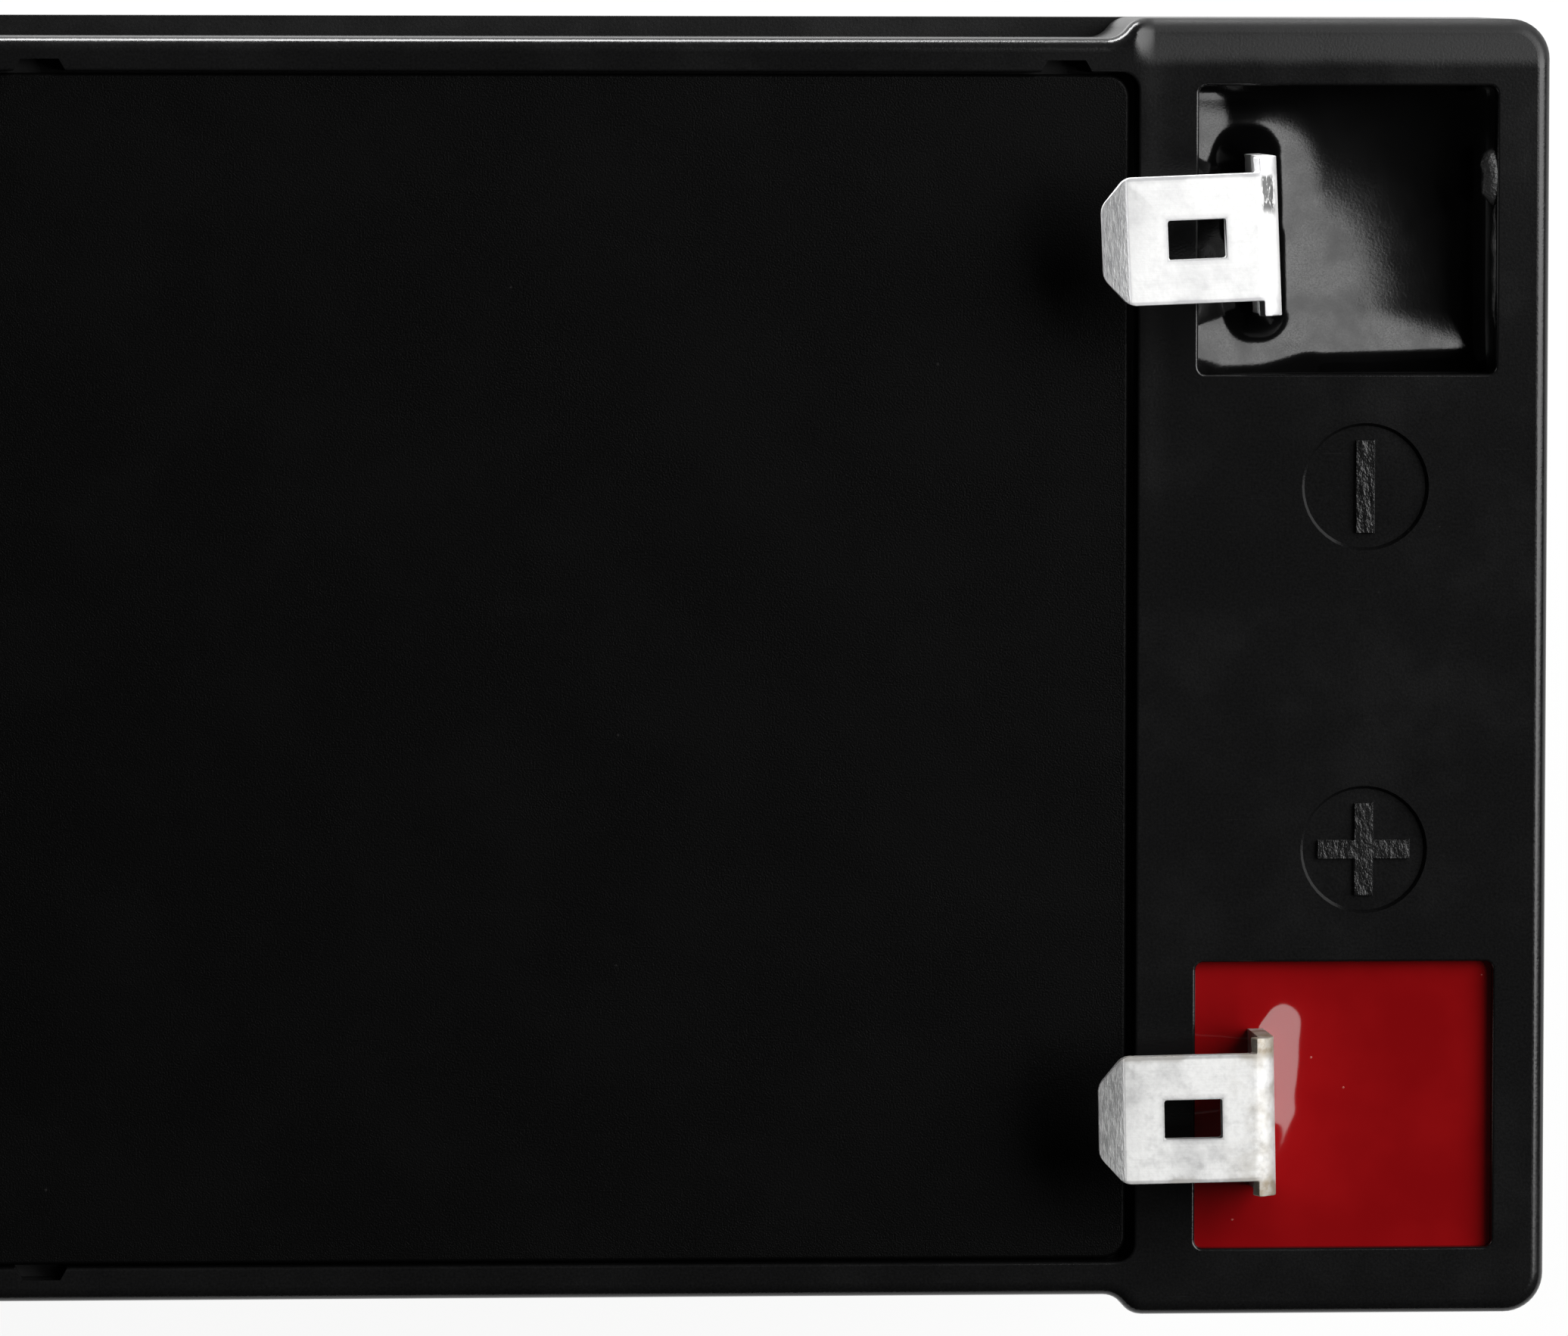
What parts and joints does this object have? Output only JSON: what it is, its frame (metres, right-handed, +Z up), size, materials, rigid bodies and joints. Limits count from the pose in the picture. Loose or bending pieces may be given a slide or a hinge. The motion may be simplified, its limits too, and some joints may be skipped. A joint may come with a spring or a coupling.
{
  "type": "sealed lead-acid battery",
  "caption": "Small black rectangular sealed lead-acid battery with a glued lid, a plate over the vents and two silver push-on blade terminals at one end, one potted red and one black.",
  "frame": {"origin": "centre of the underside of the container", "axes": "+X along the battery towards the end with the terminals, +Y towards the negative terminal, +Z up"},
  "size_m": [0.151, 0.065, 0.0995],
  "materials": {
    "case_plastic": "moulded black ABS, fine satin texture",
    "lid_plastic": "moulded black ABS, satin, lightly scuffed",
    "cover_plastic": "moulded black ABS, smooth satin",
    "cap_rubber": "soft black rubber",
    "seal_rubber": "black rubber O-ring",
    "tinned_strip": "tin-plated copper-alloy strip, brushed",
    "solder": "tin-lead solder",
    "negative_epoxy": "black epoxy, glossy and uneven",
    "positive_epoxy": "dark red epoxy, glossy",
    "negative_lead": "grey spongy lead on a cast lead grid",
    "positive_lead": "brown lead dioxide on a cast lead grid",
    "glass_mat": "white absorbent glass mat"
  },
  "bodies": {
    "root": {"container": "case_plastic", "lid": "lid_plastic", "vent_cover": "cover_plastic", "valve_cap_1": "cap_rubber", "valve_cap_2": "cap_rubber", "valve_cap_3": "cap_rubber", "valve_cap_4": "cap_rubber", "valve_cap_5": "cap_rubber", "valve_cap_6": "cap_rubber", "negative_terminal": "tinned_strip", "negative_solder": "solder", "negative_post_seal": "seal_rubber", "negative_potting": "negative_epoxy", "positive_terminal": "tinned_strip", "positive_solder": "solder", "positive_post_seal": "seal_rubber", "positive_potting": "positive_epoxy", "negative_plates_1": "negative_lead", "positive_plates_1": "positive_lead", "glass_mats_1": "glass_mat", "negative_plates_2": "negative_lead", "positive_plates_2": "positive_lead", "glass_mats_2": "glass_mat", "negative_plates_3": "negative_lead", "positive_plates_3": "positive_lead", "glass_mats_3": "glass_mat", "negative_plates_4": "negative_lead", "positive_plates_4": "positive_lead", "glass_mats_4": "glass_mat", "negative_plates_5": "negative_lead", "positive_plates_5": "positive_lead", "glass_mats_5": "glass_mat", "negative_plates_6": "negative_lead", "positive_plates_6": "positive_lead", "glass_mats_6": "glass_mat"}
  },
  "joints": []
}
